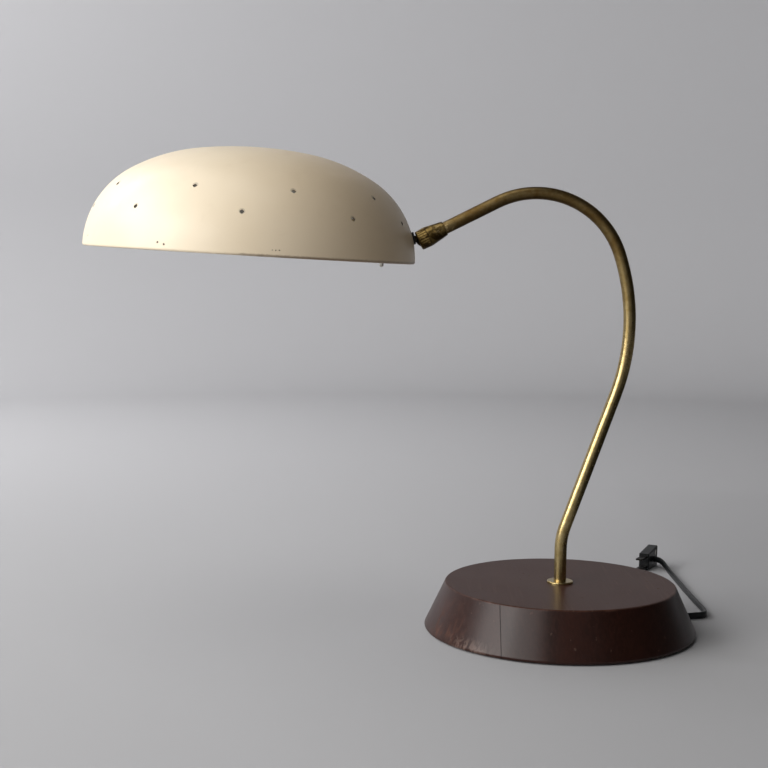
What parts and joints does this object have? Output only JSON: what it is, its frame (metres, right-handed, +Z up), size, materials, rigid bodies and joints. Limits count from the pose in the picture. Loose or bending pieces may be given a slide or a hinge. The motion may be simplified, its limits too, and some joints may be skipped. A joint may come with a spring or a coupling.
{
  "type": "desk lamp",
  "caption": "Table lamp with a turned wooden base, a bent brass stem, a ball swivel and a wide shallow spun shade with star-shaped vents.",
  "frame": {"origin": "the axis of the base on the surface the lamp stands on", "axes": "+Z up, +X to the right in the picture (the shade is towards -X), +Y away from the camera"},
  "size_m": [0.5194, 0.3822, 0.3862],
  "materials": {
    "stained_wood": "dark brown stain under worn glossy varnish",
    "felt": "dark green felt",
    "cast_iron": "rough casting, black",
    "zinc_steel": "zinc plated",
    "aged_brass": "polished once, now with a brown patina",
    "dark_brass": "turned, dark patina",
    "black_brass": "blackened, satin",
    "dull_brass": "oxidised dull brown",
    "bright_brass": "clean brass",
    "black_flex": "satin black insulation",
    "black_plastic": "glossy black moulding",
    "black_rubber": "matt black",
    "fibre": "red-brown vulcanised fibre",
    "cream_enamel": "spun aluminium in glossy warm cream enamel, small chips",
    "porcelain": "white glazed",
    "opal_glass": "opal white glass",
    "aluminium_cap": "bare, threaded",
    "nickel_key": "worn nickel plate"
  },
  "bodies": {
    "stand": {"wooden_base": "stained_wood", "base_felt": "felt", "base_weight": "cast_iron", "stem_nipple": "zinc_steel", "nipple_washer": "zinc_steel", "nipple_spring_washer": "zinc_steel", "nipple_nut": "zinc_steel", "foot_flange": "aged_brass", "stem_tube": "aged_brass", "swivel_socket": "dark_brass", "swivel_set_screw": "dark_brass", "base_flex": "black_flex", "stem_lead": "black_flex", "cord_stop": "black_plastic", "cord": "black_flex", "plug_body": "black_plastic", "plug_cover": "black_plastic", "plug_screw": "zinc_steel", "plug_blades": "dull_brass"},
    "collar": {"swivel_collar": "dark_brass"},
    "seat": {"swivel_seat": "fibre"},
    "ball": {"swivel_ball": "black_brass"},
    "head": {"shade": "cream_enamel", "shade_outer_washer": "black_rubber", "shade_inner_washer": "bright_brass", "shade_nut": "bright_brass", "lampholder_cap": "bright_brass", "lampholder_shell": "bright_brass", "lampholder_liner": "fibre", "lampholder_block": "porcelain", "lampholder_screw_shell": "bright_brass", "lampholder_contact": "bright_brass", "terminal_screws": "bright_brass", "head_lead": "black_flex", "bulb_glass": "opal_glass", "bulb_cap": "aluminium_cap", "bulb_contact": "bright_brass"},
    "key": {"switch_key": "nickel_key"}
  },
  "joints": [
    {"name": "collar_turn", "type": "hinge", "parent": "stand", "child": "collar", "pos_m": [-0.11607, 0, 0.31555], "axis": [-0.891, 0, -0.454], "range_deg": [-20, 20]},
    {"name": "head_turn", "type": "hinge", "parent": "stand", "child": "seat", "pos_m": [-0.11607, 0, 0.31555], "axis": [-0.891, 0, -0.454], "range_deg": [-90, 90]},
    {"name": "head_tilt", "type": "hinge", "parent": "seat", "child": "ball", "pos_m": [-0.11607, 0, 0.31555], "axis": [0, 1, 0], "range_deg": [-40, 2.5]},
    {"name": "head_twist", "type": "hinge", "parent": "ball", "child": "head", "pos_m": [-0.11607, 0, 0.31555], "axis": [-0.9989, 0, 0.0462], "range_deg": [-30, 30]},
    {"name": "key_turn", "type": "hinge", "parent": "head", "child": "key", "pos_m": [-0.14773, 0, 0.31701], "axis": [-0.0462, 0, -0.9989], "range_deg": [0, 90]}
  ]
}
